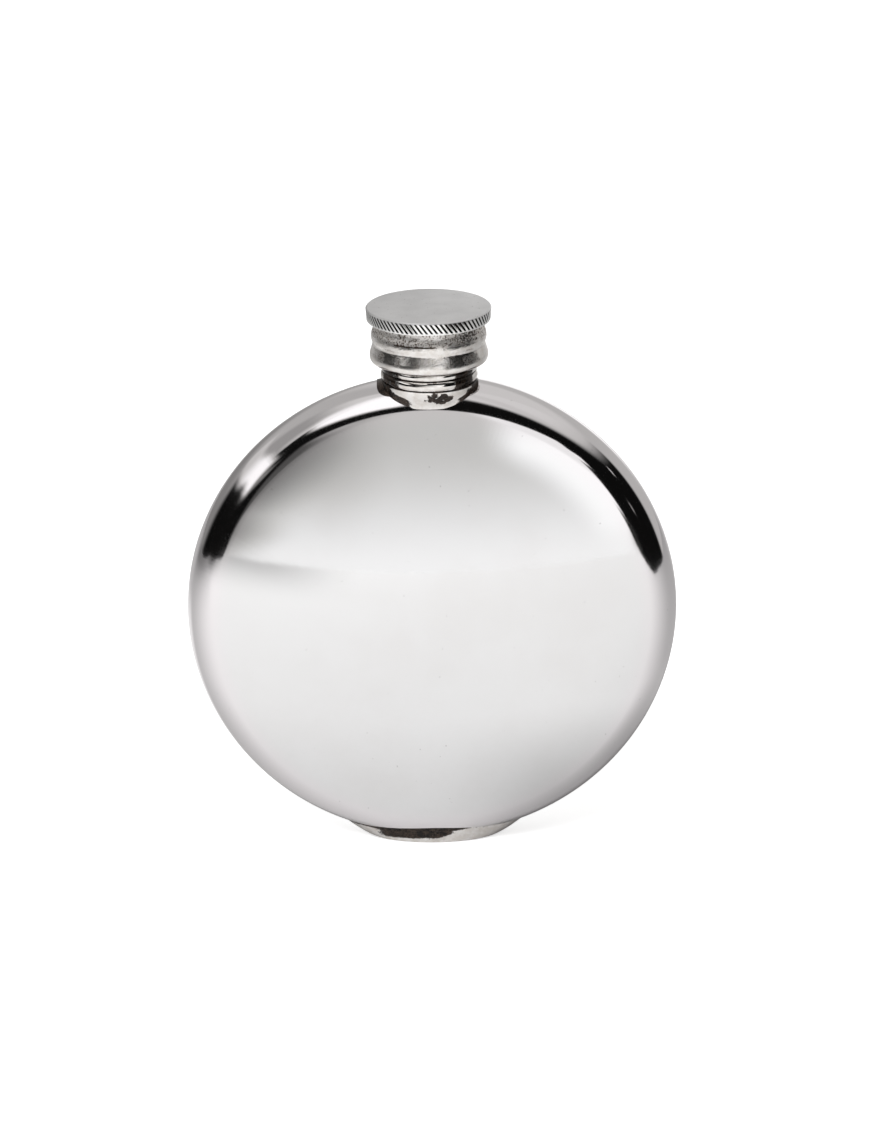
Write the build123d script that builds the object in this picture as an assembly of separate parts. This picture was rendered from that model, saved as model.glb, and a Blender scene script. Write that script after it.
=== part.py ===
from build123d import *
from math import atan2, cos, pi, sin
import os

# A round pewter pocket flask that stands on a small oval foot. Millimetres, +Z up, the
# polished front face looks along -Y, and the origin is under its middle, on the table.
# Everything below is driven by the named sizes in this first part.

# Body: two dished halves with lightly domed faces and a rounded rim
body_diameter = 100.0
body_depth = 25.0
rim_radius = 7.5
shell_wall = 1.0

# Seam: the back half's lip lies inside the front half's edge
lip_wall = 0.5
lip_length = 1.6

# Film of solder between soldered pieces
solder_film = 0.05

# Foot: an oval ring. Each flare is what an end or a side gains over the foot's height
foot_clearance = 0.4
foot_length = 25.0
foot_width = 10.8
foot_wall = 1.5
foot_height = 5.6
foot_end_flare = 8.06
foot_side_flare = 1.8
foot_lip = 0.5

# Spout: turned tube with a wide threaded head and a narrow shank in the body
shank_radius = 5.7
shank_bore_radius = 5.0
head_bore_radius = 6.2
shank_depth = 1.8
seat_height = 1.2
head_root_radius = 8.1
mouth_rounding = 0.3

# Screw thread, right-handed
thread_pitch = 1.6
thread_depth = 0.7
thread_base = 0.75
thread_crest = 0.35
thread_clearance = 0.2
spout_thread_turns = 3.0
spout_thread_start = 0.9
skirt_thread_turns = 2.5
thread_sink = 0.15

# Collar: two rings above a saddle that drapes over the rim
collar_height = 3.25
ring_radius = 9.7
ring_groove_depth = 0.5
ring_height = 1.7
collar_top_radius = 9.1
saddle_top_radius = 10.1
saddle_shoulder_length = 21.8
saddle_shoulder_width = 18.0
saddle_shoulder_drop = 1.3
saddle_ear_length = 22.6
saddle_ear_width = 15.6
saddle_ear_drop = 2.7
saddle_flap_length = 21.0
saddle_flap_width = 14.7
saddle_flap_drop = 4.6

# Cap skirt: a cast ring, a waist and a bead
skirt_gap = 0.22
skirt_height = 8.5
skirt_neck_radius = 10.8
ring_crest_radius = 11.35
waist_radius = 11.0
bead_radius = 11.65
skirt_mouth_radius = 10.6
bead_height = 3.5
cast_ring_height = 3.3

# Cap disc: satin top and a diagonal milled edge
disc_radius = 12.5
disc_thickness = 2.5
disc_bevel = 0.35
spigot_depth = 0.9
mill_count = 78
mill_width = 0.4
mill_depth = 0.35
mill_lean = 36.0
mill_land = 0.35

# Seal in the roof of the cap
seal_thickness = 1.5
seal_clearance = 0.1

# Overrun of every cutting shape past the face that it cuts
overrun = 1.0

# Places worked out from the sizes above
body_radius = body_diameter / 2
body_centre_z = body_radius + foot_clearance
body_top_z = body_centre_z + body_radius
collar_top_z = body_top_z + collar_height
seat_z = body_top_z + seat_height
skirt_bottom_z = collar_top_z + skirt_gap
disc_bottom_z = skirt_bottom_z + skirt_height
seal_bottom_z = disc_bottom_z - spigot_depth - seal_thickness
spout_top_z = seal_bottom_z
thread_crest_radius = head_root_radius + thread_depth
skirt_bore_radius = thread_crest_radius + thread_clearance


# Shared shapes

def half_lens(grow, side):
    """Half of the body's form, from its middle plane to one face, grown by a wall or film."""
    radius = body_radius + grow
    half_depth = body_depth / 2 + grow
    rim = rim_radius + grow
    rim_middle = radius - rim
    tilt = 2 * atan2(half_depth - rim, rim_middle)
    dome_radius = rim + rim_middle / sin(tilt)
    dome_middle = half_depth - dome_radius

    def on_dome(angle):
        return (dome_radius * sin(angle), side * (dome_middle + dome_radius * cos(angle)))

    def on_rim(angle):
        return (rim_middle + rim * sin(angle), side * rim * cos(angle))

    outline = [
        Line((0, 0), on_dome(0)),
        ThreePointArc(on_dome(0), on_dome(tilt / 2), on_dome(tilt)),
        ThreePointArc(on_rim(tilt), on_rim((tilt + pi / 2) / 2), on_rim(pi / 2)),
        Line(on_rim(pi / 2), (0, 0)),
    ]
    solid = revolve(make_face(outline), Axis.Y)
    return Pos(0, 0, body_centre_z) * solid


def whole_lens(grow):
    """The body's whole form, grown by a wall or a film of solder."""
    return half_lens(grow, -1) + half_lens(grow, 1)


def rod(radius, low_z, high_z):
    """An upright round bar between two heights, on the flask's axis."""
    height = high_z - low_z
    return Pos(0, 0, low_z + height / 2) * Cylinder(radius, height)


def seam_slab(low_y, high_y):
    """A wide slab across the body, between two depths."""
    span = body_diameter + 2 * overrun
    depth = high_y - low_y
    return Pos(0, low_y + depth / 2, body_centre_z) * Box(span, depth, span)


def thread_ridge(root_radius, outwards, start_z, turns):
    """One helical ridge on a round wall. It stands outwards (1) or inwards (-1)."""
    flank_slope = (thread_base - thread_crest) / (2 * thread_depth)
    buried_half = thread_base / 2 + flank_slope * thread_sink
    section = [
        (-outwards * thread_sink, -buried_half),
        (outwards * thread_depth, -thread_crest / 2),
        (outwards * thread_depth, thread_crest / 2),
        (-outwards * thread_sink, buried_half),
    ]
    path = Helix(thread_pitch, thread_pitch * turns, root_radius)
    face = make_face(Polyline(*section, close=True))
    start = Plane(origin=path @ 0, x_dir=(1, 0, 0), z_dir=path % 0)
    ridge = sweep(start * face, path=path, is_frenet=True)
    return Pos(0, 0, start_z) * ridge


# Body halves

def neck_hole():
    """The hole for the spout's shank, through the top of the rim."""
    return rod(shank_radius + solder_film, body_centre_z, body_top_z + overrun)


def make_front_shell():
    return half_lens(0, -1) - half_lens(-shell_wall, -1) - neck_hole()


def make_back_shell():
    lip_outside = -shell_wall - solder_film
    lip_inside = lip_outside - lip_wall
    root = (half_lens(-shell_wall, 1) - half_lens(lip_inside, 1)) & seam_slab(0, lip_length)
    lip = (half_lens(lip_outside, -1) - half_lens(lip_inside, -1)) & seam_slab(-lip_length, 0)
    wall = half_lens(0, 1) - half_lens(-shell_wall, 1)
    return wall + root + lip - neck_hole()


# Foot

def oval_cone(length, width, low_z, high_z):
    """An upright oval solid with the foot's flare, of the given size at table height."""
    sections = []
    for z in (low_z, high_z):
        rise = z / foot_height
        half_length = length / 2 + foot_end_flare * rise
        half_width = width / 2 + foot_side_flare * rise
        sections.append(Pos(0, 0, z) * Ellipse(half_length, half_width))
    return loft(sections, ruled=True)


def make_foot_ring():
    outside = oval_cone(foot_length, foot_width, 0, foot_height)
    outside = fillet(outside.edges().sort_by(Axis.Z)[0], foot_lip)
    inner_length = foot_length - 2 * foot_wall
    inner_width = foot_width - 2 * foot_wall
    inside = oval_cone(inner_length, inner_width, -overrun, foot_height + overrun)
    return outside - inside - whole_lens(solder_film)


# Collar and spout

def bead_arc(low_radius, high_radius, crest_radius, low_z, high_z):
    """The round outside of a ring, between its two edges."""
    middle = (crest_radius, (low_z + high_z) / 2)
    return ThreePointArc((low_radius, low_z), middle, (high_radius, high_z))


def make_neck_collar():
    groove_radius = ring_radius - ring_groove_depth
    upper_ring_z = collar_top_z - ring_height
    lower_ring_z = upper_ring_z - ring_height
    outline = [
        Line((0, lower_ring_z), (groove_radius, lower_ring_z)),
        bead_arc(groove_radius, groove_radius, ring_radius, lower_ring_z, upper_ring_z),
        bead_arc(groove_radius, collar_top_radius, ring_radius, upper_ring_z, collar_top_z),
        Line((collar_top_radius, collar_top_z), (0, collar_top_z)),
        Line((0, collar_top_z), (0, lower_ring_z)),
    ]
    rings = revolve(make_face(Plane.XZ * Curve(outline)), Axis.Z)
    saddle_ovals = [
        (2 * saddle_top_radius, 2 * saddle_top_radius, 0),
        (saddle_shoulder_length, saddle_shoulder_width, saddle_shoulder_drop),
        (saddle_ear_length, saddle_ear_width, saddle_ear_drop),
        (saddle_flap_length, saddle_flap_width, saddle_flap_drop),
    ]
    saddle = loft([
        Pos(0, 0, lower_ring_z - drop) * Ellipse(length / 2, width / 2)
        for length, width, drop in saddle_ovals
    ])
    head_bore = rod(head_root_radius + solder_film, seat_z - solder_film, collar_top_z + overrun)
    shank_bore = rod(shank_radius + solder_film, body_centre_z, collar_top_z)
    return rings + saddle - whole_lens(solder_film) - head_bore - shank_bore


def make_threaded_spout():
    head = rod(head_root_radius, seat_z, spout_top_z)
    head = fillet(head.edges().sort_by(Axis.Z)[-1], mouth_rounding)
    shank_low_z = body_top_z - shell_wall - shank_depth
    shank = rod(shank_radius, shank_low_z, seat_z)
    wide_bore = rod(head_bore_radius, collar_top_z, spout_top_z + overrun)
    narrow_bore = rod(shank_bore_radius, shank_low_z - overrun, collar_top_z)
    # A cone of 45 degrees leads from the wide bore to the narrow one
    funnel_height = head_bore_radius - shank_bore_radius
    funnel_z = collar_top_z - funnel_height / 2
    funnel = Pos(0, 0, funnel_z) * Cone(shank_bore_radius, head_bore_radius, funnel_height)
    start_z = collar_top_z + spout_thread_start
    thread = thread_ridge(head_root_radius, 1, start_z, spout_thread_turns)
    return head + shank + thread - wide_bore - narrow_bore - funnel


# Cap

def make_cap_skirt():
    bead_top_z = skirt_bottom_z + bead_height
    ring_top_z = bead_top_z + cast_ring_height
    outline = [
        Line((0, skirt_bottom_z), (skirt_mouth_radius, skirt_bottom_z)),
        bead_arc(skirt_mouth_radius, waist_radius, bead_radius, skirt_bottom_z, bead_top_z),
        bead_arc(waist_radius, skirt_neck_radius, ring_crest_radius, bead_top_z, ring_top_z),
        Line((skirt_neck_radius, ring_top_z), (skirt_neck_radius, disc_bottom_z)),
        Line((skirt_neck_radius, disc_bottom_z), (0, disc_bottom_z)),
        Line((0, disc_bottom_z), (0, skirt_bottom_z)),
    ]
    skirt = revolve(make_face(Plane.XZ * Curve(outline)), Axis.Z)
    skirt -= rod(skirt_bore_radius, skirt_bottom_z - overrun, disc_bottom_z + overrun)
    # At rest the ridge lies half a pitch above the spout's own ridge, between its turns
    start_z = collar_top_z + spout_thread_start + thread_pitch / 2
    ridge = thread_ridge(skirt_bore_radius, -1, start_z, skirt_thread_turns)
    return skirt + ridge


def make_cap_disc():
    top_z = disc_bottom_z + disc_thickness
    disc = rod(disc_radius, disc_bottom_z, top_z)
    disc = chamfer(disc.edges().sort_by(Axis.Z)[-1], disc_bevel)
    spigot = rod(skirt_bore_radius - solder_film, disc_bottom_z - spigot_depth, disc_bottom_z)
    mill_low_z = disc_bottom_z + mill_land
    mill_high_z = top_z - disc_bevel
    mill_middle_z = (mill_low_z + mill_high_z) / 2
    mill_length = (mill_high_z - mill_low_z) / cos(mill_lean * pi / 180)
    slot = Rot(mill_lean, 0, 0) * Box(2 * mill_depth, mill_width, mill_length)
    slots = [
        Rot(0, 0, turn * 360 / mill_count) * Pos(disc_radius, 0, mill_middle_z) * slot
        for turn in range(mill_count)
    ]
    return disc + spigot - slots


def make_cap_seal():
    return rod(skirt_bore_radius - seal_clearance, seal_bottom_z, seal_bottom_z + seal_thickness)


# One file for each piece

pieces = {
    "front_shell": make_front_shell(),
    "back_shell": make_back_shell(),
    "foot_ring": make_foot_ring(),
    "neck_collar": make_neck_collar(),
    "threaded_spout": make_threaded_spout(),
    "cap_skirt": make_cap_skirt(),
    "cap_disc": make_cap_disc(),
    "cap_seal": make_cap_seal(),
}
os.makedirs("parts", exist_ok=True)
for name, piece in pieces.items():
    export_step(piece, f"parts/{name}.step")
    print(name, "volume", round(piece.volume, 1), "solids", len(piece.solids()))
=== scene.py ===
from itertools import pairwise
from math import atan2, cos, hypot, pi, radians, sin, tan

import bpy
from mathutils import Matrix, Vector


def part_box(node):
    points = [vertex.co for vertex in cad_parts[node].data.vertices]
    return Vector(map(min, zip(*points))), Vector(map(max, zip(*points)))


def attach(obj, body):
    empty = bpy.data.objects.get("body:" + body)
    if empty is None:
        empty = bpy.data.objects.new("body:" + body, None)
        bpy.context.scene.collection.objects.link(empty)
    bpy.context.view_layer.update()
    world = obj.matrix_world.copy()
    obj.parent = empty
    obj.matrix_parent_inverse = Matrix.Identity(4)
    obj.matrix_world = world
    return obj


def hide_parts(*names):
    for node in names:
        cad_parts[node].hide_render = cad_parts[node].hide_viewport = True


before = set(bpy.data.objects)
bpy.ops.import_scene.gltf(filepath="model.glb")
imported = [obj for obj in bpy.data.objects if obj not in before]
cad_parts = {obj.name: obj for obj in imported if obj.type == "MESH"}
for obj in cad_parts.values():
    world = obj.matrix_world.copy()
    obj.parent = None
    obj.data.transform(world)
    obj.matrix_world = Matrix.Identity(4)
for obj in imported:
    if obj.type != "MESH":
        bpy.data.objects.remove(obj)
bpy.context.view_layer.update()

# Front shell: the front half of the body, a dish spun from pewter sheet and polished to a
# mirror. Its domed face runs into a round rim, and its edge is soldered to the back half.

mm = 0.001
shell_low, shell_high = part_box("front_shell")
body_radius = shell_high.x
body_half_depth = -shell_low.y
body_centre = Vector((0, 0, shell_low.z + body_radius))
body_top = body_centre.z + body_radius
rim_radius = 7.5 * mm
shell_wall = 1.0 * mm
neck_hole_radius = 5.75 * mm
smooth_angle = radians(40)
spin_steps = 288
# The inside is hardly seen, so its dome and its rim take fewer steps
inside_steps = (12, 12)


def lone_piece(name, primitive, **size):
    """A fresh primitive, alone selected, whose place is in its mesh."""
    bpy.ops.object.select_all(action="DESELECT")
    primitive(**size)
    piece = bpy.context.object
    piece.name = piece.data.name = name
    bpy.ops.object.transform_apply(location=True, rotation=True, scale=True)
    return piece


def turned(name, outline, middle, axis, steps):
    """A piece turned on the lathe: its outline, drawn beside the axis, goes right round it."""
    bpy.ops.object.select_all(action="DESELECT")
    bpy.ops.mesh.primitive_plane_add(size=mm, location=middle)
    piece = bpy.context.object
    piece.name = piece.data.name = name
    bpy.ops.object.mode_set(mode="EDIT")
    bpy.ops.mesh.select_all(action="SELECT")
    bpy.ops.mesh.merge(type="CENTER")
    bpy.ops.transform.translate(value=outline[0] - Vector(middle))
    for start, end in pairwise(outline):
        bpy.ops.mesh.extrude_region_move(TRANSFORM_OT_translate={"value": end - start})
    bpy.ops.object.mode_set(mode="OBJECT")
    lathe = piece.modifiers.new("lathe", "SCREW")
    lathe.axis = axis
    lathe.steps = lathe.render_steps = steps
    bpy.ops.object.modifier_apply(modifier=lathe.name)
    bpy.ops.object.transform_apply(location=True, rotation=True, scale=True)
    bpy.ops.object.mode_set(mode="EDIT")
    bpy.ops.mesh.select_all(action="SELECT")
    bpy.ops.mesh.remove_doubles(threshold=0.001 * mm)
    bpy.ops.mesh.normals_make_consistent(inside=False)
    bpy.ops.object.mode_set(mode="OBJECT")
    bpy.ops.object.shade_smooth_by_angle(angle=smooth_angle)
    return piece


def dish_outline(grow, side, dome_steps=60, rim_steps=44):
    """From the middle of a face out to the body's widest edge, on or inside the polished skin."""
    radius = body_radius + grow
    half_depth = body_half_depth + grow
    rim = rim_radius + grow
    rim_middle = radius - rim
    tilt = 2 * atan2(half_depth - rim, rim_middle)
    dome_radius = rim + rim_middle / sin(tilt)
    outline = []
    for step in range(dome_steps):
        angle = tilt * step / dome_steps
        depth = half_depth - dome_radius * (1 - cos(angle))
        outline.append((dome_radius * sin(angle), depth))
    for step in range(rim_steps + 1):
        # The last step is short, so that both halves end square to the seam
        share = min(step / (rim_steps - 0.8), 1)
        angle = tilt + (pi / 2 - tilt) * share
        outline.append((rim_middle + rim * sin(angle), rim * cos(angle)))
    return [body_centre + Vector((0, side * depth, reach)) for reach, depth in outline]


def work_in(piece, modifier):
    """The piece is alone selected, and the modifier becomes part of its mesh."""
    bpy.ops.object.select_all(action="DESELECT")
    bpy.context.view_layer.objects.active = piece
    piece.select_set(True)
    bpy.ops.object.modifier_apply(modifier=modifier.name)


def combine(piece, tool, operation):
    """The difference, union or intersection of two solids is kept, and the second is used up."""
    boolean = piece.modifiers.new("combine", "BOOLEAN")
    boolean.operation = operation
    boolean.solver = "EXACT"
    boolean.object = tool
    work_in(piece, boolean)
    bpy.data.objects.remove(tool)


def drill(name, radius, height):
    """A drill on the flask's upright axis, with its middle at a height."""
    return lone_piece(name, bpy.ops.mesh.primitive_cylinder_add, vertices=96, radius=radius,
                      depth=body_radius, location=(0, 0, height))


class Signal:
    """One value in a node tree. Python's own signs add the Math nodes."""

    def __init__(self, tree, socket):
        self.tree = tree
        self.socket = socket

    def node(self, kind, settings=None, sockets=None, output=0):
        """Any other node: its settings are set first, then its sockets' values or links."""
        made = self.tree.nodes.new(kind)
        for name, value in (settings or {}).items():
            setattr(made, name, value)
        for name, value in (sockets or {}).items():
            if isinstance(value, Signal):
                self.tree.links.new(value.socket, made.inputs[name])
            else:
                made.inputs[name].default_value = value
        return Signal(self.tree, made.outputs[output])

    def maths(self, operation, *others):
        """A Math node with this signal as its first term."""
        return self.node("ShaderNodeMath", {"operation": operation}, dict(enumerate((self, *others))))

    def __add__(self, other):
        return self.maths("ADD", other)

    def __radd__(self, other):
        return self.maths("ADD", other)

    def __sub__(self, other):
        return self.maths("SUBTRACT", other)

    def __rsub__(self, other):
        return self.node("ShaderNodeMath", {"operation": "SUBTRACT"}, {0: other, 1: self})

    def __neg__(self):
        return self.maths("MULTIPLY", -1)

    def __mul__(self, other):
        return self.maths("MULTIPLY", other)

    def __rmul__(self, other):
        return self.maths("MULTIPLY", other)

    def __truediv__(self, other):
        return self.maths("DIVIDE", other)

    def rise(self, start, end):
        """0 before start, 1 after end, and a smooth rise between them."""
        sockets = {"Value": self, "From Min": start, "From Max": end}
        return self.node("ShaderNodeMapRange", {"interpolation_type": "SMOOTHSTEP"}, sockets)

    def mix(self, low, high):
        """A colour between two others, by this signal."""
        return self.node("ShaderNodeMix", {"data_type": "RGBA"}, {0: self, 6: low, 7: high}, 2)

    def axes(self):
        """The three parts of a direction or place."""
        split = self.node("ShaderNodeSeparateXYZ", None, {0: self}).socket.node
        return [Signal(self.tree, part) for part in split.outputs]

    def noise(self, size, detail=2.0, roughness=0.5):
        """Cloudy noise at a place, with blotches of about a given size."""
        sockets = {"Vector": self, "Scale": 1 / size, "Detail": detail, "Roughness": roughness}
        return self.node("ShaderNodeTexNoise", None, sockets)

    def point(self, x, y, z):
        """A place from its three parts."""
        return self.node("ShaderNodeCombineXYZ", None, {0: x, 1: y, 2: z})

    def bump(self, depth, strength=1.0, below=None):
        """The normal of a surface that this signal raises, on top of another such normal."""
        sockets = {"Height": self, "Distance": depth, "Strength": strength}
        if below:
            sockets["Normal"] = below
        return self.node("ShaderNodeBump", None, sockets)


def hypotenuse(a, b):
    """How far out a place is, by its distances along two axes."""
    return (a * a + b * b).maths("SQRT")


def new_finish(name, middle):
    """An empty material, its shader, and the place on the piece measured from a middle."""
    material = bpy.data.materials.new(name)
    material.use_nodes = True
    tree = material.node_tree
    shader = tree.nodes["Principled BSDF"]
    coordinates = Signal(tree, tree.nodes.new("ShaderNodeTexCoord").outputs["Object"])
    sockets = {0: coordinates, 1: middle}
    place = coordinates.node("ShaderNodeVectorMath", {"operation": "SUBTRACT"}, sockets)
    return material, shader, place


def feed(shader, **signals):
    """Links signals to the shader's sockets, or sets plain values there."""
    for name, value in signals.items():
        socket = shader.inputs[name.replace("_", " ")]
        if isinstance(value, Signal):
            value.tree.links.new(value.socket, socket)
        else:
            socket.default_value = value


def wear(piece, material):
    """The whole piece gets one material."""
    piece.data.materials.clear()
    piece.data.materials.append(material)


def polished_pewter():
    """Bright pewter with a faint haze and the fine marks of the polishing mop."""
    material, shader, place = new_finish("polished_pewter", body_centre)
    x, y, z = place.axes()
    reach = hypotenuse(x, z)
    turn = x.maths("ARCTAN2", z)
    haze = place.noise(22 * mm, 3, 0.6)
    fine = place.noise(0.5 * mm, 2)
    mop = x.point(turn * 60, reach / (9 * mm), y / (9 * mm)).noise(1, 3, 0.7)
    ripple = place.noise(14 * mm, 1)
    cloud = haze.rise(0.35, 0.75)
    rim = reach.rise(body_radius - 9 * mm, body_radius - 4 * mm)
    nicks = place.noise(0.8 * mm, 2).rise(0.755, 0.78)
    clean = cloud.mix((0.862, 0.858, 0.862, 1), (0.835, 0.826, 0.826, 1))
    # The rim's faint pink tint is a painted reflection of pinkish grey
    clean = rim.mix(clean, (0.880, 0.850, 0.862, 1))
    mop_marks = mop.bump(0.004 * mm, 0.3 + rim * 0.25, ripple.bump(0.03 * mm, 0.3))
    feed(shader, Metallic=1.0, IOR=1.5, Base_Color=nicks.mix(clean, (0.66, 0.65, 0.65, 1)),
         Roughness=0.035 + cloud * 0.03 + mop * (0.03 + rim * 0.035),
         Normal=fine.bump(0.001 * mm, 0.3, mop_marks))
    return material


pewter_mirror = polished_pewter()
outside = dish_outline(0, -1)
inside = dish_outline(-shell_wall, -1, *inside_steps)
front_shell = turned("front_shell_dish", outside + inside[::-1], body_centre, "Y", spin_steps)
combine(front_shell, drill("neck_drill", neck_hole_radius, body_top), "DIFFERENCE")
wear(front_shell, pewter_mirror)
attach(front_shell, "flask")
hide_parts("front_shell")

# Back shell: the back half, the same dish turned round. Its edge has a lip that lies inside
# the front half, and the soldered seam between them is polished away.

lip_gap = 0.05 * mm
lip_wall = 0.5 * mm
lip_length = 1.6 * mm
lip_taper = 0.17

outside = dish_outline(0, 1)
inside = dish_outline(-shell_wall, 1, *inside_steps)
lip_reach = body_radius - shell_wall - lip_gap
lip_profile = [(body_radius - shell_wall, 0), (lip_reach, 0),
               (lip_reach - lip_length * lip_taper, -lip_length),
               (lip_reach - lip_wall, -lip_length), (lip_reach - lip_wall, 0)]
lip = [body_centre + Vector((0, depth, reach)) for reach, depth in lip_profile]
inside_past_lip = [point for point in inside if (point - body_centre).y > lip_length]
back_shell = turned("back_shell_dish", outside + lip + inside_past_lip[::-1], body_centre, "Y", spin_steps)
combine(back_shell, drill("neck_drill", neck_hole_radius, body_top), "DIFFERENCE")
wear(back_shell, pewter_mirror)
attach(back_shell, "flask")
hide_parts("back_shell")

# Foot ring: a cast pewter oval that flares up to the body. It is soldered under the two
# halves, and the solder has gone brown along its top edge.

foot_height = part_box("foot_ring")[1].z
foot_half_length = 12.5 * mm
foot_half_width = 5.4 * mm
foot_end_flare = 8.2 * mm
foot_end_curve = 0.75
foot_side_flare = 1.35 * mm
foot_wall = 1.5 * mm
foot_lip = 0.5 * mm
foot_lip_steps = 5
foot_sides = 288
foot_levels = 16
form_steps = (40, 30)
solder_bite = 0.12 * mm


def oval_stack(name, ovals, sides, closed_ends=False):
    """A wall through a stack of ovals, each a half length, a half width and a height."""
    length, width, height = ovals[0]
    piece = lone_piece(name, bpy.ops.mesh.primitive_circle_add, vertices=sides, radius=length,
                       fill_type="NGON" if closed_ends else "NOTHING", location=(0, 0, height))
    bpy.ops.object.mode_set(mode="EDIT")
    bpy.ops.mesh.select_all(action="SELECT")
    bpy.ops.transform.resize(value=(1, width / length, 1))
    for (length, width, height), (next_length, next_width, next_height) in pairwise(ovals):
        bpy.ops.mesh.extrude_region_move(TRANSFORM_OT_translate={"value": (0, 0, next_height - height)})
        bpy.ops.transform.resize(value=(next_length / length, next_width / width, 1))
    bpy.ops.mesh.select_all(action="SELECT")
    bpy.ops.mesh.remove_doubles(threshold=0.001 * mm)
    if closed_ends:
        bpy.ops.mesh.fill_holes(sides=0)
    bpy.ops.mesh.normals_make_consistent(inside=False)
    bpy.ops.object.mode_set(mode="OBJECT")
    return piece


def body_form(grow):
    """The body's whole form as one solid, to cut what is soldered to it."""
    front = dish_outline(grow, -1, *form_steps)
    back = dish_outline(grow, 1, *form_steps)
    return turned("body_form", front + back[-2::-1], body_centre, "Y", spin_steps)


def foot_oval(inset, rise):
    """The foot's half length and half width at a height, less an inset."""
    share = rise / foot_height
    return (foot_half_length - inset + foot_end_flare * share ** foot_end_curve,
            foot_half_width - inset + foot_side_flare * share, rise)


lip_turns = [pi / 2 * step / foot_lip_steps for step in range(foot_lip_steps + 1)]
foot_ovals = [foot_oval(foot_lip * (1 - sin(turn)), foot_lip * (1 - cos(turn))) for turn in lip_turns]
wall_rises = [foot_lip + (foot_height - foot_lip) * (level + 1) / foot_levels for level in range(foot_levels)]
foot_ovals += [foot_oval(0, rise) for rise in wall_rises]
foot_ovals += [foot_oval(foot_wall, foot_height), foot_oval(foot_wall, 0), foot_ovals[0]]
foot_ring = oval_stack("foot_ring_cast", foot_ovals, foot_sides)
combine(foot_ring, body_form(-solder_bite), "DIFFERENCE")


def cast_texture(piece, size, depth, group=""):
    """The slightly uneven skin of a casting, pressed into the mesh itself."""
    skin = bpy.data.textures.new(f"{piece.name}_skin", "CLOUDS")
    skin.noise_scale = size
    skin.noise_depth = 2
    press = piece.modifiers.new("cast_skin", "DISPLACE")
    press.texture = skin
    press.texture_coords = "LOCAL"
    press.strength = depth
    press.mid_level = 0.5
    press.vertex_group = group
    work_in(piece, press)


cast_texture(foot_ring, size=4 * mm, depth=0.05 * mm)
# The underside is ground flat
for vertex in foot_ring.data.vertices:
    vertex.co.z = max(vertex.co.z, 0)
bpy.ops.object.shade_smooth_by_angle(angle=smooth_angle)


def cast_pewter(name, dark, pits):
    """Cast pewter, brighter on what hands rub, brown where solder and wear collect, near black where shade
    and dark reflections are painted.

    dark gives 1 where the metal has gone brown and where shade and dark reflections are painted, and pits
    gives 1 where its skin is rough."""
    material, shader, place = new_finish(name, (0, 0, 0))
    grain = place.noise(0.34 * mm, 3, 0.6)
    patches = place.noise(1.6 * mm, 3, 0.6)
    rough = pits(place)
    brown_and_painted_dark = (dark(place) + (patches - 0.5) * 0.6 + (grain - 0.5) * (0.4 + rough * 1.6)).rise(0.34, 0.68)
    tone = patches.rise(0.3, 0.7).mix((0.93, 0.905, 0.885, 1), (0.78, 0.735, 0.695, 1))
    specks = (grain * (0.55 + rough * 0.45)).rise(0.50, 0.60)
    tone = specks.mix(tone, (0.18, 0.13, 0.105, 1))
    # The near-black crust colour also paints the shade and dark reflections that dark marks
    dark_mottle = (grain + patches - 0.5).rise(0.35, 0.65)
    crust_and_painted_dark = dark_mottle.mix((0.008, 0.006, 0.005, 1), (0.055, 0.039, 0.030, 1))
    soft = place.noise(2.5 * mm, 1)
    dents = grain.bump(0.08 * mm, rough * 0.75 + 0.03, soft.bump(0.14 * mm, 0.4))
    feed(shader, Metallic=1.0 - brown_and_painted_dark * 0.45, Base_Color=brown_and_painted_dark.mix(tone, crust_and_painted_dark),
         Roughness=0.05 + rough * 0.38 + brown_and_painted_dark * 0.15 + patches * 0.05, Normal=dents)
    return material


def body_nearness(place, reach):
    """1 on the body's rim, falling to 0 at a distance from it."""
    x, y, z = place.axes()
    past_rim_middle = hypotenuse(x, z - body_centre.z) - (body_radius - rim_radius)
    distance = hypotenuse(past_rim_middle, y) - rim_radius
    return 1 - distance.rise(0, reach)


def foot_dark(place):
    """Brown along the solder, and a streaky painted dark reflection left of the middle that stops above the
    lip.
    """
    x, y, z = place.axes()
    streaks = x.point(x / (4 * mm), y / (4 * mm), z / (0.45 * mm)).noise(1, 4, 0.6)
    # The streaky patch left of the middle is a painted dark reflection; the line along the solder is brown
    # solder
    across = x.rise(-14 * mm, -9.5 * mm) * (1 - x.rise(0.5 * mm, 8 * mm))
    low_edge = 1.2 * mm * x.rise(-1 * mm, 6 * mm)
    dark_patch = across * (z - low_edge).rise(0.5 * mm, 1.7 * mm)
    painted_streaky_reflection = dark_patch * (0.45 + 0.9 * streaks) * (-y).rise(0, 2 * mm)
    return body_nearness(place, 0.4 * mm) * (0.75 - 0.35 * x.rise(3 * mm, 9 * mm)) + painted_streaky_reflection


wear(foot_ring, cast_pewter("foot_pewter", foot_dark,
                            lambda place: body_nearness(place, 2 * mm) * 0.15))
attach(foot_ring, "flask")
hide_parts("foot_ring")

# Threaded spout: a turned pewter tube with a wide threaded head. Its shank is soldered into
# the top of the body, and the collar covers the joint.

spout_low, spout_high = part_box("threaded_spout")
spout_top = spout_high.z
spout_bottom = spout_low.z
spout_root = 8.1 * mm
shank_radius = 5.7 * mm
shank_bore = 5.0 * mm
head_bore = 6.2 * mm
seat_height = body_top + 1.2 * mm
funnel_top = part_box("neck_collar")[1].z
mouth_rounding = 0.3 * mm
mouth_steps = 4
thread_pitch = 1.6 * mm
thread_depth = 0.7 * mm
thread_base = 0.75 * mm
thread_crest = 0.35 * mm
thread_sink = 0.15 * mm
spout_thread_start = funnel_top + 0.9 * mm
spout_thread_turns = 3.0
turn_steps = 160


def upright(points):
    """Points of an outline, each a radius and a height, drawn to the right of the axis."""
    return [Vector((radius, 0, height)) for radius, height in points]


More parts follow.
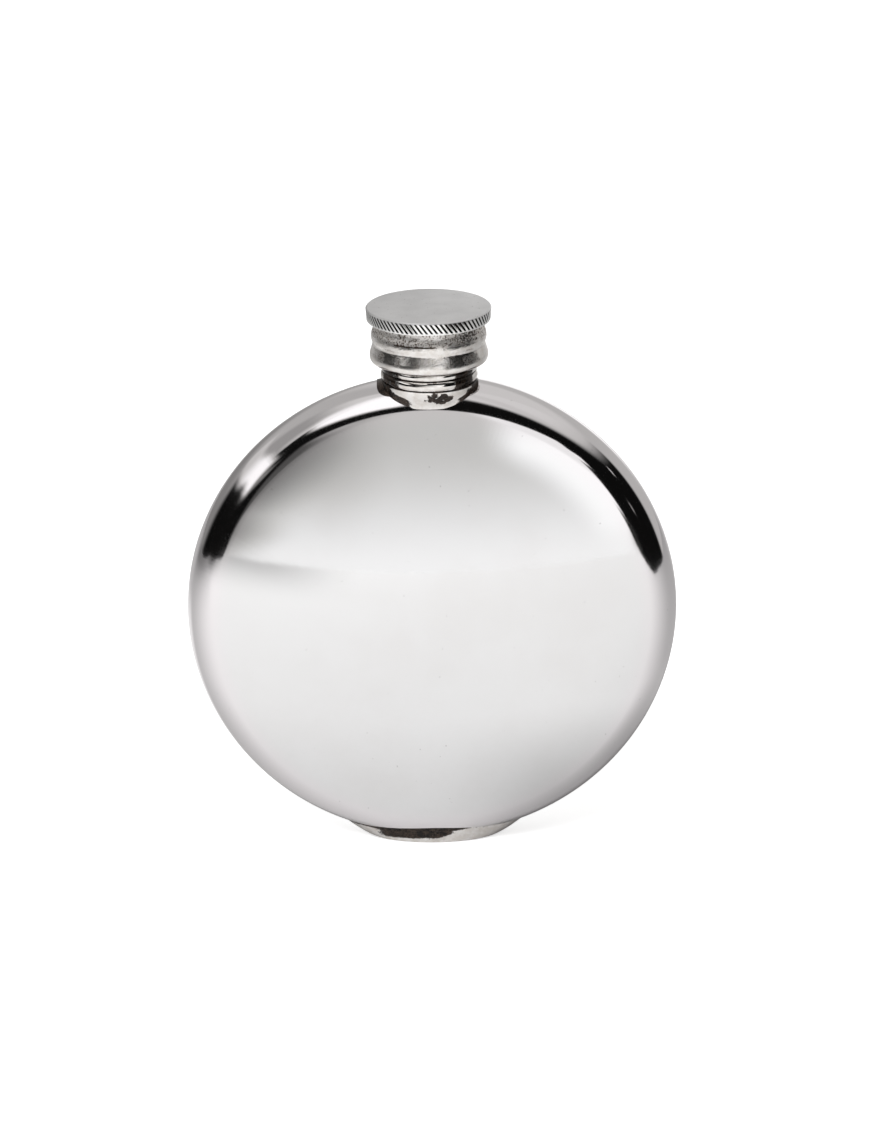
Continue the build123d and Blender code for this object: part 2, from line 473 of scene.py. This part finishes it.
def screw_thread(name, root, outwards, start, turns):
    """A ridge wound round a wall: its section is turned and lifted by one pitch a turn."""
    section = [(root - outwards * thread_sink, -thread_base / 2),
               (root + outwards * thread_depth, -thread_crest / 2),
               (root + outwards * thread_depth, thread_crest / 2),
               (root - outwards * thread_sink, thread_base / 2)]
    ridge = lone_piece(name, bpy.ops.mesh.primitive_plane_add, size=mm, location=(0, 0, 0))
    for vertex, (radius, rise) in zip(ridge.data.vertices, [section[0], section[1], section[3], section[2]]):
        vertex.co = (radius, 0, start + rise)
    bpy.ops.object.mode_set(mode="EDIT")
    bpy.ops.mesh.select_all(action="SELECT")
    bpy.ops.mesh.delete(type="ONLY_FACE")
    bpy.ops.object.mode_set(mode="OBJECT")
    winding = ridge.modifiers.new("winding", "SCREW")
    winding.angle = 2 * pi * turns
    winding.screw_offset = thread_pitch * turns
    winding.steps = winding.render_steps = int(turn_steps * turns)
    bpy.ops.object.modifier_apply(modifier=winding.name)
    bpy.ops.object.mode_set(mode="EDIT")
    bpy.ops.mesh.select_all(action="SELECT")
    bpy.ops.mesh.fill_holes(sides=4)
    bpy.ops.mesh.normals_make_consistent(inside=False)
    bpy.ops.object.mode_set(mode="OBJECT")
    return ridge


def joined(piece, other):
    """Cut or cast in one: the other solid becomes part of the first, with no walls left inside."""
    combine(piece, other, "UNION")
    bpy.ops.object.shade_smooth_by_angle(angle=radians(35))
    return piece


mouth_turns = [pi / 2 * step / mouth_steps for step in range(mouth_steps + 1)]
rounding = [(spout_root - mouth_rounding * (1 - cos(turn)),
             spout_top - mouth_rounding * (1 - sin(turn))) for turn in mouth_turns]
spout_outline = upright([(shank_radius, spout_bottom), (shank_radius, seat_height), (spout_root, seat_height),
                         *rounding, (head_bore, spout_top), (head_bore, funnel_top),
                         (shank_bore, funnel_top - (head_bore - shank_bore)), (shank_bore, spout_bottom),
                         (shank_radius, spout_bottom)])
threaded_spout = turned("threaded_spout_turned", spout_outline, (0, 0, 0), "Z", turn_steps)
spout_thread = screw_thread("spout_thread", spout_root, 1, spout_thread_start, spout_thread_turns)
threaded_spout = joined(threaded_spout, spout_thread)


def turned_pewter():
    """Bright turned pewter: fine rings left by the tool, and brown in the thread's roots."""
    material, shader, place = new_finish("turned_pewter", (0, 0, 0))
    x, y, z = place.axes()
    radius = hypotenuse(x, y)
    root = 1 - (radius - spout_root).rise(0.1 * mm, 0.5 * mm)
    dark_patch = (place.noise(1.2 * mm, 3) * 0.8 + root * 0.35).rise(0.55, 0.85)
    rings = x.point(radius / (0.08 * mm), z / (0.08 * mm), 0).noise(1, 2)
    feed(shader, Metallic=1.0, Base_Color=dark_patch.mix((0.80, 0.785, 0.765, 1), (0.22, 0.19, 0.165, 1)),
         Roughness=0.16 + rings * 0.1 + dark_patch * 0.2, Normal=rings.bump(0.01 * mm, 0.5))
    return material


wear(threaded_spout, turned_pewter())
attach(threaded_spout, "flask")
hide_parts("threaded_spout")

# Neck collar: cast pewter, two rings over a saddle that drapes over the rim. It hides the
# spout's joint and is soldered to both.

collar_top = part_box("neck_collar")[1].z
ring_radius = 9.7 * mm
groove_radius = ring_radius - 0.5 * mm
collar_top_radius = 9.1 * mm
collar_bore = spout_root + 0.05 * mm
# Each ring is known by the height of its lower edge
upper_ring = collar_top - 1.7 * mm
lower_ring = upper_ring - 2.1 * mm
ring_sink = 0.5 * mm
saddle_drops = [0, 1.2 * mm, 2.6 * mm, 4.2 * mm]
saddle_half_lengths = [9.45 * mm, 9.8 * mm, 10.1 * mm, 10.2 * mm]
saddle_half_widths = [9.3 * mm, 8.8 * mm, 8.0 * mm, 7.2 * mm]
saddle_levels = 18
saddle_sides = 224
ear_half_length = 10.15 * mm
ear_half_width = 5.4 * mm
ear_squareness = 5
ear_depth = 3.0 * mm
ear_thickness = 0.16 * mm
ear_shift = -0.35 * mm
ear_hole_radius = 8.6 * mm


def round_side(low_radius, high_radius, crest, low, high, steps=14):
    """The round outside of a ring: the arc through its lower edge, its crest and its upper edge."""
    a, b, c = Vector((low_radius, low)), Vector((crest, (low + high) / 2)), Vector((high_radius, high))
    ab, cb = a - b, c - b
    double_area = 2 * ab.cross(cb)
    middle = b + Vector((cb.y * ab.length_squared - ab.y * cb.length_squared,
                         ab.x * cb.length_squared - cb.x * ab.length_squared)) / double_area
    start, end = atan2(*(a - middle).yx), atan2(*(c - middle).yx)
    size = (b - middle).length
    turns = [start + (end - start) * step / steps for step in range(steps + 1)]
    return [(middle.x + size * cos(turn), middle.y + size * sin(turn)) for turn in turns]


def smooth_through(places, values, place):
    """The smooth curve through four values, read at one place."""
    total = 0
    for here, value in zip(places, values):
        for other in places:
            if other != here:
                value *= (place - other) / (here - other)
        total += value
    return total


ring_outline = [(collar_bore, lower_ring - ring_sink), (groove_radius, lower_ring - ring_sink),
                *round_side(groove_radius, groove_radius, ring_radius, lower_ring, upper_ring),
                *round_side(groove_radius, collar_top_radius, ring_radius, upper_ring, collar_top)[1:],
                (collar_bore, collar_top), (collar_bore, lower_ring - ring_sink)]
collar_rings = turned("neck_collar_cast", upright(ring_outline), (0, 0, 0), "Z", saddle_sides)
saddle_ovals = []
for level in range(saddle_levels + 1):
    drop = saddle_drops[-1] * level / saddle_levels
    saddle_ovals.append((smooth_through(saddle_drops, saddle_half_lengths, drop),
                         smooth_through(saddle_drops, saddle_half_widths, drop), lower_ring - drop))
saddle = oval_stack("saddle", saddle_ovals, saddle_sides, closed_ends=True)
combine(saddle, drill("saddle_drill", shank_radius, collar_top), "DIFFERENCE")
# The ears are thin tabs that lie on the rim, so they keep only what is close to the body
ear_ovals = [(ear_half_length, ear_half_width, height) for height in (lower_ring - ear_depth, lower_ring)]
ears = oval_stack("ears", ear_ovals, saddle_sides, closed_ends=True)
for vertex in ears.data.vertices:
    square = (abs(vertex.co.x / ear_half_length) ** ear_squareness
              + abs(vertex.co.y / ear_half_width) ** ear_squareness) ** (-1 / ear_squareness)
    vertex.co.x = vertex.co.x * square + ear_shift
    vertex.co.y *= square
combine(ears, body_form(ear_thickness), "INTERSECT")
combine(ears, drill("ear_drill", ear_hole_radius, collar_top), "DIFFERENCE")
saddle = joined(saddle, ears)
combine(saddle, body_form(-solder_bite / 2), "DIFFERENCE")
neck_collar = joined(collar_rings, saddle)
cast_texture(neck_collar, size=2.5 * mm, depth=0.07 * mm)


def degrees_round(x, y):
    """The angle round the flask's upright axis: 0 in front, and growing to the right."""
    return x.maths("ARCTAN2", -y) * (180 / pi)


def collar_dark(place):
    """Brown in the ring grooves and on the left ear, a painted shadow line under the cap, and painted dark
    reflections towards both sides, along the flanks and right of the middle.
    """
    x, y, z = place.axes()
    turn = degrees_round(x, y)
    # The line just under the cap, at the collar's top, is painted shadow of the gap; the two ring grooves
    # hold brown patina
    groove_patina_and_gap_shadow = 0
    for groove in (upper_ring, lower_ring, collar_top - 0.25 * mm):
        groove_patina_and_gap_shadow = 1 - (z - groove).maths("ABSOLUTE").rise(0.08 * mm, 0.38 * mm) + groove_patina_and_gap_shadow
    rings = (z - lower_ring).rise(-0.1 * mm, 0.2 * mm)
    # Both sides of the rings get painted dark reflections of the dark room
    right_side = turn.rise(26, 36) * (1 - turn.rise(58, 72))
    left_side = (-turn).rise(32, 42) * (1 - (-turn).rise(66, 80))
    left_ear = (-x).rise(8.8 * mm, 9.6 * mm) * (1 - rings)
    front = (1 - rings) * (-y).rise(0, 2 * mm)
    # The flanks by the body and the patch right of the middle are painted dark reflections
    left_flank = (-x).rise(2.5 * mm, 4.5 * mm) * body_nearness(place, 2.2 * mm).rise(0, 0.4)
    right_flank = x.rise(4.5 * mm, 6.5 * mm) * body_nearness(place, 1.6 * mm).rise(0, 0.5)
    patch_across = ((x - 1.7 * mm) / (3.5 * mm)).maths("POWER", 2)
    patch_upwards = ((z - lower_ring + 1.7 * mm) / (1.5 * mm)).maths("POWER", 2)
    ragged = place.noise(1.3 * mm, 2)
    dark_patch = 1 - (patch_across + patch_upwards + ragged * 2.4 - 1.2).rise(0.2, 1.2)
    painted_upper_reflection = x.rise(1 * mm, 4 * mm) * (z - lower_ring).rise(-1.2 * mm, -0.2 * mm) * (1 - turn.rise(50, 64))
    marks = rings * (right_side * 0.8 + left_side * 0.7) + left_ear * 0.55
    marks = marks + front * ((left_flank + right_flank) * (0.3 + ragged) + dark_patch * 0.8 + painted_upper_reflection * 0.4)
    return groove_patina_and_gap_shadow * 0.75 + marks + body_nearness(place, 0.3 * mm) * 0.3


wear(neck_collar, cast_pewter("collar_pewter", collar_dark,
                              lambda place: body_nearness(place, 3 * mm) * 0.15))
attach(neck_collar, "flask")
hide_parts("neck_collar")

# Cap seal: the round cork liner in the roof of the cap, which shuts the spout's mouth. It is
# cut from cork sheet and pressed in, so its shape is the plain disc that the frame holds.

cap_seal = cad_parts["cap_seal"]


def seal_liner():
    """Pressed cork: granules in two browns, dark where they meet, with a soft uneven skin."""
    material, shader, place = new_finish("seal_liner", (0, 0, 0))
    granules = place.node("ShaderNodeTexVoronoi", None, {"Vector": place, "Scale": 1 / (0.9 * mm)})
    shades = place.noise(0.8 * mm, 2)
    pores = granules.rise(0.35, 0.62)
    tone = shades.rise(0.3, 0.7).mix((0.50, 0.31, 0.17, 1), (0.36, 0.21, 0.11, 1))
    feed(shader, Base_Color=pores.mix(tone, (0.17, 0.09, 0.05, 1)),
         Roughness=0.7 + shades * 0.25, Normal=pores.bump(-0.05 * mm, 0.6))
    return material


wear(cap_seal, seal_liner())

# Cap skirt: the cast lower part of the cap, with a thread inside. A rough cast ring stands under the disc,
# over a waist and a smooth bead; it is brown from the ring's crest up, with painted dark reflections towards
# both sides.

skirt_low, skirt_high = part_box("cap_skirt")
skirt_bottom = skirt_low.z
skirt_top = skirt_high.z
bead_top = skirt_bottom + 3.5 * mm
cast_ring_top = bead_top + 3.3 * mm
skirt_bore = 9.0 * mm
skirt_steps = 400
skirt_thread_start = funnel_top + 1.7 * mm
skirt_thread_turns = 2.5
# The casting's skin is full at this height over the skirt's lower edge, and fades below it
rough_from = 4.0 * mm
rough_fade = 1.4 * mm
bead_roughness = 0.12
# Radius and height over the lower edge, in mm: the bead is full low down, and the ring over it is flatter
skirt_sides = [(10.95, 0), (11.42, 0.13), (11.70, 0.45), (11.80, 0.95), (11.81, 1.4), (11.74, 1.85),
               (11.60, 2.3), (11.45, 2.8), (11.30, 3.3), (11.20, 3.65), (11.25, 4.05), (11.41, 4.5),
               (11.49, 5.05), (11.44, 5.65), (11.28, 6.25), (11.02, 6.7), (10.86, 7.05), (10.80, 7.6),
               (10.80, 8.1), (10.80, 8.5)]


def smooth_line(points, steps):
    """A smooth line through all of its points, each run in a few steps."""
    points = [Vector(point) for point in points]
    ends = [points[0] * 2 - points[1], *points, points[-1] * 2 - points[-2]]
    line = []
    for before, here, there, after in zip(ends, ends[1:], ends[2:], ends[3:]):
        for share in (step / steps for step in range(steps)):
            line.append((here * 2 + (there - before) * share
                         + (before * 2 - here * 5 + there * 4 - after) * share ** 2
                         + (here * 3 - before - there * 3 + after) * share ** 3) / 2)
    return line + [points[-1]]


skirt_side = [(point.x * mm, skirt_bottom + point.y * mm) for point in smooth_line(skirt_sides, 3)]
skirt_outline = upright([(skirt_bore, skirt_bottom), *skirt_side, (skirt_bore, skirt_top),
                         (skirt_bore, skirt_bottom)])
cap_skirt = turned("cap_skirt_cast", skirt_outline, (0, 0, 0), "Z", skirt_steps)
rough_part = cap_skirt.vertex_groups.new(name="rough_part")
for vertex in cap_skirt.data.vertices:
    outside_share = min(max((hypot(vertex.co.x, vertex.co.y) - skirt_bore) / mm, 0), 1)
    height_share = (vertex.co.z - skirt_bottom - (rough_from - rough_fade)) / rough_fade
    rough_part.add([vertex.index], outside_share * min(max(height_share, bead_roughness), 1), "REPLACE")
cast_texture(cap_skirt, size=0.35 * mm, depth=0.10 * mm, group="rough_part")
skirt_thread = screw_thread("skirt_thread", skirt_bore, -1, skirt_thread_start, skirt_thread_turns)
cap_skirt = joined(cap_skirt, skirt_thread)


def skirt_dark(place):
    """Mottled brown from the cast ring's crest up, a painted dark line of reflection and shade under it, and
    painted dark reflections towards both sides.
    """
    x, y, z = place.axes()
    turn = degrees_round(x, y)
    upper = (z - cast_ring_top).rise(-1.25 * mm, -0.75 * mm)
    front = (-turn).rise(-58, -44) * (1 - (-turn).rise(34, 56))
    crest = 1 - (z - cast_ring_top + 1.1 * mm).maths("ABSOLUTE").rise(0.05 * mm, 0.3 * mm)
    # A painted dark line of reflection and shade runs on the ring's upper flank
    line = crest * (turn + 42).rise(0, 8) * (1 - turn.rise(2, 16))
    # Towards both sides the bead and ring get painted dark reflections
    right_side = turn.rise(30, 40) * (1 - turn.rise(52, 68))
    left_side = ((-turn).rise(24, 30) * (1 - (-turn).rise(34, 39))
                 + (-turn).rise(45, 52) * (1 - (-turn).rise(58, 72)))
    bead = (z - bead_top).rise(-2.6 * mm, -1.6 * mm) * (1 - (z - bead_top).rise(-0.6 * mm, 0.4 * mm))
    sides = right_side * (upper * 0.3 + bead * 0.55) + left_side * (bead * 0.48 + upper * 0.1)
    return upper * (0.2 + 0.1 * front) + line * 0.75 + sides


def skirt_pits(place):
    """Rough over the cast ring, most of all at its top, and a little on the bead."""
    rise = place.axes()[2] - bead_top
    bead = rise.rise(-2.8 * mm, -2.0 * mm) * (1 - rise.rise(-0.8 * mm, 0.2 * mm))
    return bead * 0.35 + rise.rise(-0.6 * mm, 0.4 * mm) * 0.35 + rise.rise(1.9 * mm, 2.5 * mm) * 0.5 + 0.1


wear(cap_skirt, cast_pewter("skirt_pewter", skirt_dark, skirt_pits))
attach(cap_skirt, "cap")
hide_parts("cap_skirt")

# Cap disc: the turned top of the cap, satin above, with a diagonally milled edge for the
# fingers. A spigot under it is soldered into the skirt.

disc_low, disc_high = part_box("cap_disc")
disc_top = disc_high.z
disc_radius = disc_high.x
disc_thickness = 2.5 * mm
disc_bottom = disc_top - disc_thickness
disc_bevel = 0.28 * mm
disc_taper = 0.15 * mm
mill_count = 78
mill_columns = 9
slot_columns = 4
mill_depth = 0.35 * mm
mill_lean = radians(36)
mill_land = 0.35 * mm
spigot_radius = 8.95 * mm
disc_sharpest = radians(30)
level_margin = 0.1 * mm

cap_disc = lone_piece("cap_disc_milled", bpy.ops.mesh.primitive_cylinder_add,
                      vertices=mill_count * mill_columns, radius=disc_radius, depth=disc_thickness,
                      location=(0, 0, disc_bottom + disc_thickness / 2))
mill_low = disc_bottom + mill_land
mill_high = disc_top - disc_bevel
bpy.ops.object.mode_set(mode="EDIT")
for height in (mill_low, mill_high):
    bpy.ops.mesh.select_all(action="SELECT")
    bpy.ops.mesh.bisect(plane_co=(0, 0, height), plane_no=(0, 0, 1))


def select_parts(parts, wanted):
    """Of the disc's vertices or faces, only those that are wanted stay selected."""
    bpy.ops.mesh.select_all(action="DESELECT")
    bpy.ops.object.mode_set(mode="OBJECT")
    for part in getattr(cap_disc.data, parts):
        part.select = wanted(part)
    bpy.ops.object.mode_set(mode="EDIT")


def narrow(step):
    """What is selected comes in by a step at the disc's edge."""
    share = 1 - step / disc_radius
    bpy.ops.transform.resize(value=(share, share, 1))


lean_turn = (mill_high - mill_low) * tan(mill_lean) / disc_radius
bpy.ops.mesh.select_mode(type="VERT")
select_parts("vertices", lambda vertex: vertex.co.z > mill_low + level_margin)
bpy.ops.transform.rotate(value=lean_turn, orient_axis="Z", center_override=(0, 0, 0))
select_parts("vertices", lambda vertex: vertex.co.z > mill_high + level_margin)
narrow(disc_bevel)
# The milled edge gets a little narrower downwards
select_parts("vertices", lambda vertex: vertex.co.z < mill_low + level_margin)
narrow(disc_taper)
bpy.ops.mesh.select_mode(type="FACE")


def in_slot(face):
    """Whether a face of the leaning edge lies in one of the slots."""
    if not mill_low < face.center.z < mill_high:
        return False
    column = atan2(face.center.y, face.center.x) * mill_count * mill_columns / (2 * pi)
    # Half a column keeps every face's centre clear of the edge between a slot and a land
    return (column + lean_columns + 0.5) % mill_columns < slot_columns


lean_columns = lean_turn / 2 * mill_count * mill_columns / (2 * pi)
select_parts("polygons", in_slot)
bpy.ops.mesh.inset(thickness=0.02 * mm, depth=-mill_depth)
select_parts("polygons", lambda face: face.center.z < disc_bottom + 0.01 * mm)
bpy.ops.mesh.inset(thickness=disc_radius - disc_taper - spigot_radius)
bpy.ops.mesh.extrude_region_move(TRANSFORM_OT_translate={"value": (0, 0, disc_low.z - disc_bottom)})
bpy.ops.object.mode_set(mode="OBJECT")
soften = cap_disc.modifiers.new("soften", "BEVEL")
soften.width = 0.035 * mm
soften.segments = 2
soften.angle_limit = disc_sharpest
work_in(cap_disc, soften)
bpy.ops.object.shade_smooth_by_angle(angle=disc_sharpest)


def satin_pewter():
    """Satin pewter with a fine grain, bright on the milled lands, with painted near-black shade in the slots
    between them.
    """
    material, shader, place = new_finish("satin_pewter", (0, 0, 0))
    x, y, z = place.axes()
    radius = hypotenuse(x, y)
    edge = 1 - z.rise(mill_high - 0.06 * mm, mill_high + 0.02 * mm)
    land = disc_radius - disc_taper * (1 - ((z - mill_low) / (mill_high - mill_low)).maths("MINIMUM", 1))
    # The slots are painted near black, a painted shade in the recesses
    slot = edge * (1 - (radius - land).rise(-0.06 * mm, -0.015 * mm)) * z.rise(mill_low, mill_low + 0.03 * mm)
    grain = place.noise(0.14 * mm, 3, 0.6)
    cloud = place.noise(5 * mm, 3)
    specks = place.noise(0.5 * mm, 2).rise(0.70, 0.76)
    face = cloud.rise(0.3, 0.7).mix((0.90, 0.895, 0.90, 1), (0.83, 0.825, 0.83, 1))
    face = specks.mix(face, (0.42, 0.41, 0.40, 1))
    tone = edge.mix(face, (0.93, 0.925, 0.915, 1))
    feed(shader, Metallic=1.0, Base_Color=slot.mix(tone, (0.012, 0.010, 0.009, 1)),
         Roughness=0.36 - edge * 0.29 + grain * 0.14, Normal=grain.bump(0.02 * mm, 0.6 - edge * 0.35))
    return material


wear(cap_disc, satin_pewter())
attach(cap_disc, "cap")
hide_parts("cap_disc")

# Table: a plain white board under the flask. Its front edge is nearly straight, and a corner is
# missing at the front right, where the metal shows the dark room.

table_corners = [(0.235, -0.28), (0.31, -0.17), (0.46, -0.10), (0.75, 0.34), (0.75, 1.60), (-1.00, 1.60),
                 (-1.00, -0.32), (-0.35, -0.32), (-0.15, -0.28)]
table = lone_piece("table", bpy.ops.mesh.primitive_circle_add, vertices=len(table_corners), fill_type="NGON",
                   location=(0, 0, 0))
for vertex, (x, y) in zip(table.data.vertices, table_corners):
    vertex.co = (x, y, 0)
bpy.ops.object.mode_set(mode="EDIT")
bpy.ops.mesh.select_all(action="SELECT")
bpy.ops.mesh.normals_make_consistent(inside=False)
bpy.ops.object.mode_set(mode="OBJECT")


def white_board():
    """White board that stays white in the picture and keeps its shadow; the metal shows it with painted
    shade.
    """
    material = bpy.data.materials.new("white_board")
    material.use_nodes = True
    tree = material.node_tree
    tree.nodes.clear()
    path = tree.nodes.new("ShaderNodeLightPath")
    camera = Signal(tree, path.outputs["Is Camera Ray"])
    glossy = Signal(tree, path.outputs["Is Glossy Ray"])
    glass = Signal(tree, path.outputs["Is Transmission Ray"])
    coordinates = Signal(tree, tree.nodes.new("ShaderNodeTexCoord").outputs["Object"])
    x, y = coordinates.axes()[:2]
    # In the metal the board shows painted shade to both sides of the flask and far to the left, and stays
    # bright behind it
    turn = degrees_round(x, y)
    distance = hypotenuse(x, y)
    rear_left = (-turn).rise(108, 124) * (1 - distance.rise(0.14, 0.26))
    rear_right = turn.rise(130, 165) * distance.rise(0.17, 0.26)
    right_side = turn.rise(30, 105) * (0.30 + 0.16 * distance.rise(0.05, 0.12)) * (1 - rear_right)
    sides = right_side + (-turn).rise(45, 112) * 0.38 * (1 - rear_left)
    front_left = (-turn).rise(12, 30) * (-y).rise(0.17, 0.30)
    far_left = (-turn).rise(42, 62) * (1 - (-turn).rise(112, 135)) * distance.rise(0.12, 0.66)
    # Close under the body a painted contact shadow darkens the board where the metal shows it
    past_body = (x.maths("ABSOLUTE") - 45 * mm).maths("MAXIMUM", 0)
    close = 1 - hypotenuse(past_body, y).rise(3 * mm, 60 * mm)
    painted_contact_shadow = close * (0.14 + 0.28 * x.rise(-5 * mm, 32 * mm)) * (1 - rear_left * 0.7)
    # The painted shade darkens the board only for glossy rays
    painted_shade = 1 - (1 - sides) * (1 - painted_contact_shadow) * (1 - front_left * 0.5) * (1 - far_left * 0.6)
    grain = coordinates.noise(2 * mm, 3)
    tint = grain.mix((0.80, 0.80, 0.80, 1), (0.83, 0.83, 0.83, 1))
    paint = camera.node("ShaderNodeBsdfDiffuse", None, {"Color": tint})
    glow = camera.node("ShaderNodeEmission", None, {"Strength": (camera + glass) * 0.68 + glossy * 0.12})
    lit = camera.node("ShaderNodeAddShader", None, {0: paint, 1: glow})
    unlit = camera.node("ShaderNodeEmission", None, {"Strength": 0})
    shown = camera.node("ShaderNodeMixShader", None, {0: glossy * painted_shade, 1: lit, 2: unlit})
    output = tree.nodes.new("ShaderNodeOutputMaterial")
    tree.links.new(shown.socket, output.inputs["Surface"])
    return material


wear(table, white_board())

# Key lamp: a soft box over the front left that lights the board. The metal doesn't show it,
# because the studio below holds the soft box that it shows.

key_distance = 1.2
key_bearing = radians(-25)
key_height = radians(52)
key_data = bpy.data.lights.new("key_lamp", "AREA")
key_data.size = 0.5
key_data.energy = 9.5
key_lamp = bpy.data.objects.new("key_lamp", key_data)
bpy.context.collection.objects.link(key_lamp)
toward_key = Vector((sin(key_bearing) * cos(key_height), -cos(key_bearing) * cos(key_height),
                     sin(key_height)))
key_lamp.location = body_centre + toward_key * key_distance
key_lamp.rotation_euler = toward_key.to_track_quat("Z", "Y").to_euler()
key_lamp.visible_glossy = False
key_lamp.visible_camera = False

# Studio: a dark room with a white tent over and behind the flask, a soft box at the upper
# left, a strip light on the left, and a pale panel and a brighter card beside the camera.

world = bpy.data.worlds.new("studio")
bpy.context.scene.world = world
world.use_nodes = True
tree = world.node_tree
tree.nodes.clear()
direction = Signal(tree, tree.nodes.new("ShaderNodeTexCoord").outputs["Generated"])
right, away, up = direction.axes()
# Both in degrees: round the flask from the camera, and above the horizon
bearing = degrees_round(right, away)
height = up.maths("ARCSINE") * (180 / pi)
room_level = 0.004


def patch(left, right, low, high, blur):
    """A soft-edged patch of the studio, by bearing and height in degrees."""
    across = bearing.rise(left - blur, left + blur) - bearing.rise(right - blur, right + blur)
    upwards = height.rise(low - blur, low + blur) - height.rise(high - blur, high + blur)
    return across * upwards


def lay_over(light, mask, level):
    """A lamp or cloth of a given level in front of what is there."""
    return light * (1 - mask) + mask * level


# The tent's cloth: its lower edge falls to the right, and on the left it hangs lower
tent_edge = 59.5 - 31.5 * bearing.rise(5, 78) - 34 * (-bearing).rise(46, 60)
cloth = 0.50 + 0.18 * height.rise(28, 55) - 0.07 * (bearing.rise(30, 50) - bearing.rise(54, 72))
cloth = lay_over(cloth, (-bearing).rise(56, 72), 0.33 + 0.34 * height.rise(46, 68))
light = lay_over(room_level, (height - tent_edge).rise(-3, 10), cloth)
# Behind the flask it hangs down to the table, on the right and on the left
light = lay_over(light, bearing.rise(99, 108), 0.49 + 0.14 * height.rise(32, 44))
rear_left_cloth = 0.24 + 0.22 * height.rise(8, 30) + 0.14 * (-bearing).rise(150, 172)
light = lay_over(light, (-bearing).rise(98, 118), rear_left_cloth)
# The soft box at the upper left, then the strip light that curves down towards the camera
box_low = 38.5 + 12 * (-bearing).rise(44, 68)
box_across = bearing.rise(-78, -42) - bearing.rise(-12, -4)
box = box_across * (height - box_low).rise(-4, 4) * (1 - height.rise(72, 80))
light = lay_over(light, box, 1.17)
strip_offset = height - (26 - 12 * bearing.rise(-78, -30))
strip_above = 1 - strip_offset.rise(3.5, 8.5)
strip_below = 1 - (-strip_offset - 1.8 * bearing.rise(-72, -55)).rise(3.5, 8.5)
strip = (bearing.rise(-130, -120) - bearing.rise(-56, -42)) * strip_above * strip_below
light = lay_over(light, strip, 1.13 - 0.53 * (-bearing).rise(66, 112))
light = lay_over(light, patch(-48, -39, 11, 17, 3), 0.24)
# The panel beside the camera carries the table's white on and fades upwards. Something dark and
# round stands in front of its left edge
panel_level = lay_over(0.42 + 0.20 * bearing.rise(-15, -4), 1 - height.rise(-14, 6), 1.04)
past_middle = (height - 6.5) * (height - 6.5)
panel_edge = -15.7 - 0.056 * past_middle.maths("MINIMUM", 150) - 6 * (1 - height.rise(-13, -8))
panel_shape = (1 - bearing.rise(31, 34.5)) * (1 - height.rise(20.8, 22.8))
light = lay_over(light, bearing.rise(-34, -28) * panel_shape, 0.08)
light = lay_over(light, (bearing - panel_edge).rise(-7, 7) * panel_shape, panel_level)
# A brighter card on its right has a round edge
card_edge = hypotenuse(bearing, height + 21.4)
card = card_edge.rise(24, 28.5) * bearing.rise(6, 13) * panel_shape * height.rise(-13, -7)
light = lay_over(light, card, 1.12 - 0.2 * height.rise(3, 10))
# A low bright strip behind the flask, then small things on the right, each a patch and its level
light = lay_over(light, bearing.rise(146, 160) * (1 - height.rise(4, 16)), 1.15)
small_things = [((32, 38, 13.5, 18, 1), 1.0), ((28.5, 40, -11, -3.3, 1.5), 0.02),
                ((76.5, 78.5, 22, 25, 0.7), 0.9), ((62, 65, 7, 10, 1), 0.3)]
for edges_and_blur, level in small_things:
    light = lay_over(light, patch(*edges_and_blur), level)
# The backdrop that the camera sees is plain white, and the dimmer cloth is a little warm
camera_ray = Signal(tree, tree.nodes.new("ShaderNodeLightPath").outputs["Is Camera Ray"])
shown = lay_over(light, camera_ray, 1.0)
cloth_tint = shown.rise(0.55, 0.95).mix((1, 0.992, 0.972, 1), (1, 1, 1, 1))
background = shown.node("ShaderNodeBackground", None, {"Color": cloth_tint, "Strength": shown})
output = tree.nodes.new("ShaderNodeOutputWorld")
tree.links.new(background.socket, output.inputs["Surface"])

# Camera: in front of the flask and a little above it, as in the photograph.

camera_distance = 700 * mm
camera_elevation = radians(21.4)
camera_roll = radians(0.7)
image_height = 1131
focal_pixels = 3417
body_below_middle = 43.4
body_left_of_middle = 2.9

camera_data = bpy.data.cameras.new("camera")
camera_data.sensor_width = 36
camera_data.lens = camera_data.sensor_width * focal_pixels / image_height
camera_data.shift_x = body_left_of_middle / image_height
camera_data.shift_y = body_below_middle / image_height
camera_data.clip_start = 0.05
camera = bpy.data.objects.new("camera", camera_data)
bpy.context.collection.objects.link(camera)
back = Vector((0, -cos(camera_elevation), sin(camera_elevation)))
look = (-back).to_track_quat("-Z", "Y").to_matrix() @ Matrix.Rotation(-camera_roll, 3, "Z")
camera.matrix_world = Matrix.Translation(body_centre + back * camera_distance) @ look.to_4x4()
bpy.context.scene.camera = camera
bpy.context.scene.view_settings.view_transform = "Standard"
